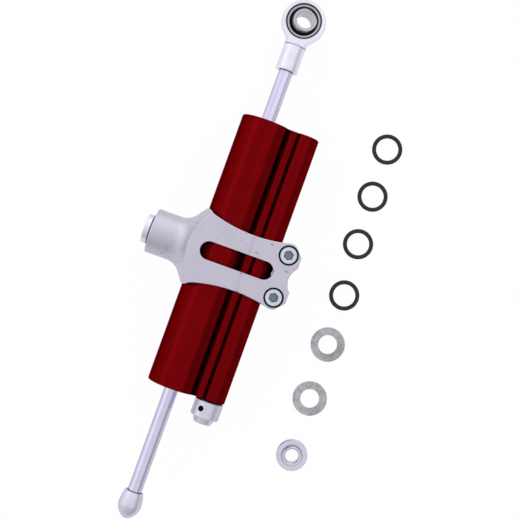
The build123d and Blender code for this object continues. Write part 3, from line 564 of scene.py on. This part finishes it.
class DAMPER_OT_finishes(bpy.types.Operator):
    """Gives every CAD piece its finish"""

    bl_idname = "damper.finishes"
    bl_label = "Finishes"

    def execute(self, context):
        colours = context.scene.damper_look.colours
        steel_colour = tuple(colours.steel)
        clamp = clamp_finish(tuple(colours.clamp))
        eye = eye_finish(tuple(colours.bright))
        rod = rod_finish(tuple(colours.rod))
        turned = metal(
            "turned_silver", tuple(colours.turned), 0.36, RINGED, 3e-6, edge=(0.7, 0.66, 0.8)
        ).material
        sleeve = metal("sleeve_silver", shade(colours.turned, 1.1), 0.3, EVEN, 2e-6).material
        steel = metal("bearing_steel", steel_colour, 0.3, EVEN, 1e-6).material
        washer = washer_finish(shade(steel_colour, 1.05))
        # The screws' painted shade reaches farther into their hex sockets
        screw = metal(
            "screw_steel", SCREW_STEEL, 0.34, EVEN, 1e-6, reach=0.0042, depth=0.2
        ).material
        dark = metal("spring_steel", SPRING_STEEL, 0.35, EVEN, 1e-6).material
        brass = metal("brass", BRASS, 0.3, RINGED, 2e-6).material
        rubber = rubber_finish(tuple(colours.rubber))
        by_slot = {
            "red_anodised": barrel_finish(tuple(colours.red)), "clamp_silver": clamp,
            "eye_silver": eye, "rod_chrome": rod, "cap_silver": turned, "knob_silver": turned,
            "spacer_silver": turned, "sleeve_silver": sleeve, "end_silver": turned,
            "guide_silver": turned, "bearing_steel": steel, "washer_steel": washer,
            "screw_steel": screw, "spring_steel": dark, "grub_black": dark, "brass": brass,
            "bronze": brass, "band_plastic": rubber, "black_rubber": rubber,
        }
        for part in frame["record"]["subparts"]:
            dress(part["node"], by_slot[part["material_slot"]])
        dress("eye_bearing_race", race_finish(steel_colour))
        dress("eye_ball", ball_finish(steel_colour))
        return {"FINISHED"}


class DAMPER_OT_o_rings(bpy.types.Operator):
    """Adds the four round O-rings of the fitting kit"""

    bl_idname = "damper.o_rings"
    bl_label = "O-Rings"

    def execute(self, context):
        look = context.scene.damper_look
        shape = bmesh.new()
        upright = Matrix.Rotation(math.pi / 2, 4, "X")
        for x, y in RING_PLACES:
            centre = Vector((x, y, FLOOR_Z + look.ring_section))
            section = bmesh.ops.create_circle(
                shape, cap_ends=False, radius=look.ring_section, segments=SECTION_SIDES,
                matrix=Matrix.Translation(centre + Vector((look.ring_radius, 0, 0))) @ upright,
            )["verts"]
            loop = {edge for vert in section for edge in vert.link_edges}
            bmesh.ops.spin(
                shape, geom=section + list(loop), cent=centre, axis=(0, 0, 1), angle=2 * math.pi,
                steps=RING_STEPS, use_merge=True,
            )
        bmesh.ops.recalc_face_normals(shape, faces=shape.faces)
        rings = place_mesh("kit_o_rings_round", shape, bpy.data.materials["black_rubber"])
        rings.data.shade_smooth()
        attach(rings, "clamp")
        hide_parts("kit_o_rings")
        return {"FINISHED"}


class DAMPER_OT_boss_seal(bpy.types.Operator):
    """Adds the thin dust seal that stands out of the boss's face, round the sleeve's flange"""

    bl_idname = "damper.boss_seal"
    bl_label = "Boss Seal"

    def execute(self, context):
        look = context.scene.damper_look
        shape = bmesh.new()
        for radius in (look.seal_inner, look.seal_outer):
            bmesh.ops.create_circle(shape, cap_ends=False, radius=radius, segments=SEAL_SIDES)
        bmesh.ops.bridge_loops(shape, edges=shape.edges)
        ring = shape.faces[:]
        lifted = bmesh.ops.extrude_face_region(shape, geom=ring)["geom"]
        bmesh.ops.translate(
            shape, verts=[item for item in lifted if isinstance(item, bmesh.types.BMVert)],
            vec=(0, 0, look.seal_thickness),
        )
        bmesh.ops.recalc_face_normals(shape, faces=shape.faces)
        rims = [edge for edge in shape.edges if edge.calc_face_angle(0) > SEAL_RIM_ANGLE]
        bmesh.ops.bevel(
            shape, geom=rims, offset=look.seal_thickness / 4, affect="EDGES", segments=3, profile=0.5,
            material=-1,
        )
        bmesh.ops.transform(
            shape, verts=shape.verts,
            matrix=Matrix.Translation((0, BOSS_Y + SEAL_GAP, 0)) @ Matrix.Rotation(-math.pi / 2, 4, "X"),
        )
        seal = place_mesh("boss_seal", shape, bpy.data.materials["black_rubber"])
        seal.data.shade_smooth()
        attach(seal, "clamp")
        return {"FINISHED"}


OPERATORS = (DAMPER_OT_stage, DAMPER_OT_finishes, DAMPER_OT_o_rings, DAMPER_OT_boss_seal)


class DAMPER_PT_panel(bpy.types.Panel):
    """Lists the damper's pieces and its stage"""

    bl_idname = "DAMPER_PT_panel"
    bl_label = "Steering Damper"
    bl_space_type = "VIEW_3D"
    bl_region_type = "UI"
    bl_category = "Damper"

    def draw(self, context):
        for operator in OPERATORS:
            self.layout.operator(operator.bl_idname)


CLASSES = (DamperColours, DamperStage, DamperLook, *OPERATORS, DAMPER_PT_panel)


def register():
    """Registers the classes and the look's settings."""
    for item in CLASSES:
        bpy.utils.register_class(item)
    bpy.types.Scene.damper_look = PointerProperty(type=DamperLook)


def unregister():
    """Removes them again."""
    del bpy.types.Scene.damper_look
    for item in reversed(CLASSES):
        bpy.utils.unregister_class(item)


def main():
    """Builds everything in order."""
    register()
    bpy.ops.damper.stage()
    bpy.ops.damper.finishes()
    bpy.ops.damper.o_rings()
    bpy.ops.damper.boss_seal()


if __name__ == "__main__":
    main()
